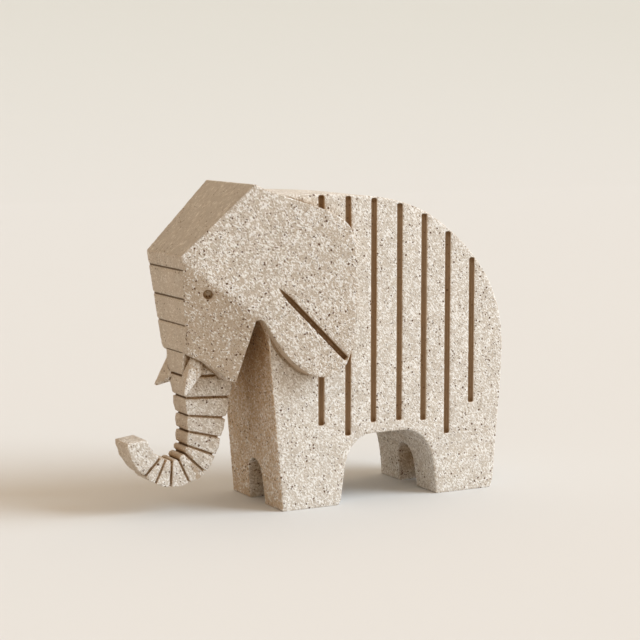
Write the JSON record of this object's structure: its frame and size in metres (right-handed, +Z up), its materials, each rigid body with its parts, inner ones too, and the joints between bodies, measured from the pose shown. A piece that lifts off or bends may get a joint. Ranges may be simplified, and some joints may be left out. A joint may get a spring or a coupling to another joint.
{
  "type": "elephant sculpture",
  "caption": "Stylised elephant sculpture in speckled stone-look resin, with a slab body, large flat ears, short tusks and a ringed trunk curled up at its tip.",
  "frame": {"origin": "middle of the object's outline on the floor, at the height of its soles", "axes": "+Z up, -X the way the elephant faces, -Y its left flank"},
  "size_m": [0.2496, 0.1098, 0.1997],
  "materials": {
    "resin": "matte cast resin that looks like beige stone, with pale flecks and fine dark specks"
  },
  "bodies": {
    "root": {"elephant": "resin"}
  },
  "joints": []
}
